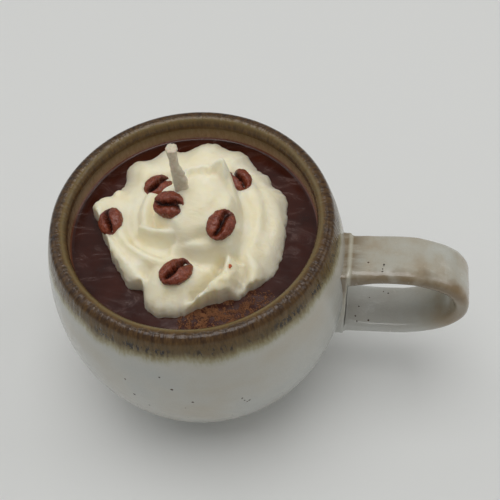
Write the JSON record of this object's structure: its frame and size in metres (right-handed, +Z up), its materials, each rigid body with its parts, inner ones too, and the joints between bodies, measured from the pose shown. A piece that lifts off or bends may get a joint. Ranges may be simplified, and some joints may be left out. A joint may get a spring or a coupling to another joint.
{
  "type": "coffee cup candle",
  "caption": "Candle made to look like a cup of coffee: a round stoneware mug with a strap handle, filled with brown wax and topped with whipped wax, wax coffee beans and a wick.",
  "frame": {"origin": "centre of the foot ring on the surface the mug stands on, on the axis of the mug", "axes": "+Z up along the mug's axis, +X towards the handle"},
  "size_m": [0.1439, 0.1026, 0.1147],
  "materials": {
    "stoneware": "pale grey speckled glaze with a brown glossy band at the rim",
    "brown_wax": "dark reddish brown wax with a soft sheen",
    "ivory_wax": "ivory whipped wax, slightly translucent",
    "bean_wax": "reddish brown wax with small glints",
    "wick_cotton": "waxed cotton wick"
  },
  "bodies": {
    "root": {"mug": "stoneware", "coffee": "brown_wax", "cream": "ivory_wax", "bean_1": "bean_wax", "bean_2": "bean_wax", "bean_3": "bean_wax", "bean_4": "bean_wax", "bean_5": "bean_wax", "bean_6": "bean_wax", "wick": "wick_cotton"}
  },
  "joints": []
}
